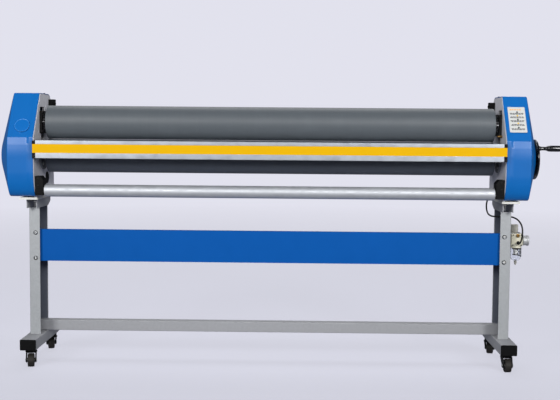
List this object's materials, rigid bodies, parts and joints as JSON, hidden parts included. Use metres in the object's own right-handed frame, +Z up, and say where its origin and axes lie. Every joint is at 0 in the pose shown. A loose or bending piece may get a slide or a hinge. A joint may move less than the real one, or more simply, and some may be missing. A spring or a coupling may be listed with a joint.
{
  "type": "cold roll laminator",
  "caption": "Free-standing wide cold roll laminator with two rubber rollers, feed table, supply tube, blue end covers, handwheel and castered stand.",
  "frame": {"origin": "on the floor, under the middle of the rollers' length and the middle of the posts' depth", "axes": "+X along the rollers towards the handwheel, +Y from the feed table to the delivery side, +Z up"},
  "size_m": [2.092, 0.3843, 1.02],
  "materials": {
    "frame_grey": "textured powder coat",
    "post_grey": "textured powder coat",
    "plate_light": "powder coat",
    "panel_blue": "smooth paint",
    "cover_blue": "smooth moulded",
    "badge_blue": "smooth moulded",
    "label_white": "printed film",
    "zinc": "zinc plated",
    "steel": "ground",
    "cast_grey": "satin",
    "rubber_upper": "ground silicone rubber",
    "rubber_lower": "ground silicone rubber",
    "aluminium": "satin anodised",
    "stripe_yellow": "adhesive film",
    "black_plastic": "moulded",
    "black_gloss": "polished",
    "black_steel": "painted",
    "black_block": "satin black",
    "cream": "painted casting",
    "silver_plastic": "moulded",
    "gauge": "plated",
    "clear_bowl": "clear polycarbonate",
    "brass": "machined",
    "hose": "polyurethane",
    "red_plastic": "moulded",
    "wheel_brown": "hard rubber"
  },
  "bodies": {
    "root": {"left_post": "post_grey", "right_post": "post_grey", "foot_tubes": "frame_grey", "foot_end_caps": "black_plastic", "head_channels": "frame_grey", "head_bolts": "zinc", "base_plates": "plate_light", "foot_blocks": "cast_grey", "stretcher_bar": "frame_grey", "front_panel": "panel_blue", "panel_bolts": "zinc", "left_side_plate": "frame_grey", "right_side_plate": "frame_grey", "left_end_cover": "cover_blue", "right_end_cover": "cover_blue", "cover_badge": "badge_blue", "cover_label": "label_white", "lower_bearings": "cast_grey", "air_cylinders": "aluminium", "feed_table": "aluminium", "feed_table_stripe": "stripe_yellow", "feed_table_end_plugs": "black_plastic", "small_screws": "black_steel", "rear_tie_beam": "frame_grey", "tube_holders": "black_plastic", "film_tube_holders": "black_plastic", "regulator_bracket": "zinc", "regulator_body": "cream", "pressure_gauge": "gauge", "filter_bowl": "clear_bowl", "bowl_guard": "zinc", "brass_fittings": "brass", "hose_fittings": "black_plastic", "air_hose": "hose", "grommets": "black_plastic", "lift_valve": "black_plastic", "caster_stems": "zinc"},
    "lower_roller": {"lower_roller_sleeve": "rubber_lower", "lower_roller_core": "steel", "handwheel": "black_gloss", "grip_pin": "steel"},
    "grip": {"handwheel_grip": "black_gloss"},
    "upper_carriage": {"bearing_blocks": "black_block", "upper_bearings": "steel", "lift_rods": "steel"},
    "upper_roller": {"upper_roller_sleeve": "rubber_upper", "upper_roller_core": "steel"},
    "supply_tube": {"supply_tube": "aluminium"},
    "film_tube": {"film_tube": "aluminium"},
    "regulator_knob": {"regulator_knob": "silver_plastic"},
    "bowl_drain": {"bowl_drain": "silver_plastic"},
    "lift_valve_lever": {"lift_valve_lever": "red_plastic"},
    "fork_front_left": {"fork_front_left": "black_steel"},
    "wheel_front_left": {"wheel_front_left": "wheel_brown"},
    "fork_front_right": {"fork_front_right": "black_steel"},
    "wheel_front_right": {"wheel_front_right": "wheel_brown"},
    "fork_rear_left": {"fork_rear_left": "black_steel"},
    "wheel_rear_left": {"wheel_rear_left": "wheel_brown"},
    "fork_rear_right": {"fork_rear_right": "black_steel"},
    "wheel_rear_right": {"wheel_rear_right": "wheel_brown"}
  },
  "joints": [
    {"name": "lower_roller_spin", "type": "hinge", "parent": "root", "child": "lower_roller", "pos_m": [0, -0.03, 0.784], "axis": [1, 0, 0], "continuous": true},
    {"name": "grip_spin", "type": "hinge", "parent": "lower_roller", "child": "grip", "pos_m": [1.04, -0.078, 0.826], "axis": [1, 0, 0], "continuous": true},
    {"name": "upper_lift", "type": "slide", "parent": "root", "child": "upper_carriage", "axis": [0, 0, 1], "range_m": [0, 0.023]},
    {"name": "upper_roller_spin", "type": "hinge", "parent": "upper_carriage", "child": "upper_roller", "pos_m": [0, -0.03, 0.9094], "axis": [1, 0, 0], "continuous": true},
    {"name": "supply_tube_spin", "type": "hinge", "parent": "root", "child": "supply_tube", "pos_m": [0, -0.125, 0.6575], "axis": [1, 0, 0], "continuous": true},
    {"name": "film_tube_spin", "type": "hinge", "parent": "root", "child": "film_tube", "pos_m": [0, 0.082, 0.948], "axis": [1, 0, 0], "continuous": true},
    {"name": "regulator_knob_turn", "type": "hinge", "parent": "root", "child": "regulator_knob", "pos_m": [0.931, 0, 0.52], "axis": [0, 0, 1], "range_deg": [-540, 540]},
    {"name": "bowl_drain_turn", "type": "hinge", "parent": "root", "child": "bowl_drain", "pos_m": [0.938, 0, 0.39], "axis": [0, 0, 1], "range_deg": [0, 90]},
    {"name": "lift_valve_tilt", "type": "hinge", "parent": "root", "child": "lift_valve_lever", "pos_m": [0.915, 0.13386, 0.86171], "axis": [1, 0, 0], "range_deg": [0, 40]},
    {"name": "swivel_front_left", "type": "hinge", "parent": "root", "child": "fork_front_left", "pos_m": [-0.886, -0.12, 0.056], "axis": [0, 0, 1], "continuous": true},
    {"name": "roll_front_left", "type": "hinge", "parent": "fork_front_left", "child": "wheel_front_left", "pos_m": [-0.88143, -0.14152, 0.025], "axis": [0.9781, 0.2079, 0], "continuous": true},
    {"name": "swivel_front_right", "type": "hinge", "parent": "root", "child": "fork_front_right", "pos_m": [0.886, -0.12, 0.056], "axis": [0, 0, 1], "continuous": true},
    {"name": "roll_front_right", "type": "hinge", "parent": "fork_front_right", "child": "wheel_front_right", "pos_m": [0.88638, -0.142, 0.025], "axis": [0.9998, 0.0175, 0], "continuous": true},
    {"name": "swivel_rear_left", "type": "hinge", "parent": "root", "child": "fork_rear_left", "pos_m": [-0.876, 0.15, 0.056], "axis": [0, 0, 1], "continuous": true},
    {"name": "roll_rear_left", "type": "hinge", "parent": "fork_rear_left", "child": "wheel_rear_left", "pos_m": [-0.8828, 0.17092, 0.025], "axis": [-0.9511, -0.309, 0], "continuous": true},
    {"name": "swivel_rear_right", "type": "hinge", "parent": "root", "child": "fork_rear_right", "pos_m": [0.876, 0.15, 0.056], "axis": [0, 0, 1], "continuous": true},
    {"name": "roll_rear_right", "type": "hinge", "parent": "fork_rear_right", "child": "wheel_rear_right", "pos_m": [0.8828, 0.17092, 0.025], "axis": [-0.9511, 0.309, 0], "continuous": true}
  ],
  "couplings": [
    {"joint": "upper_roller_spin", "follows": "lower_roller_spin", "ratio": -1}
  ]
}
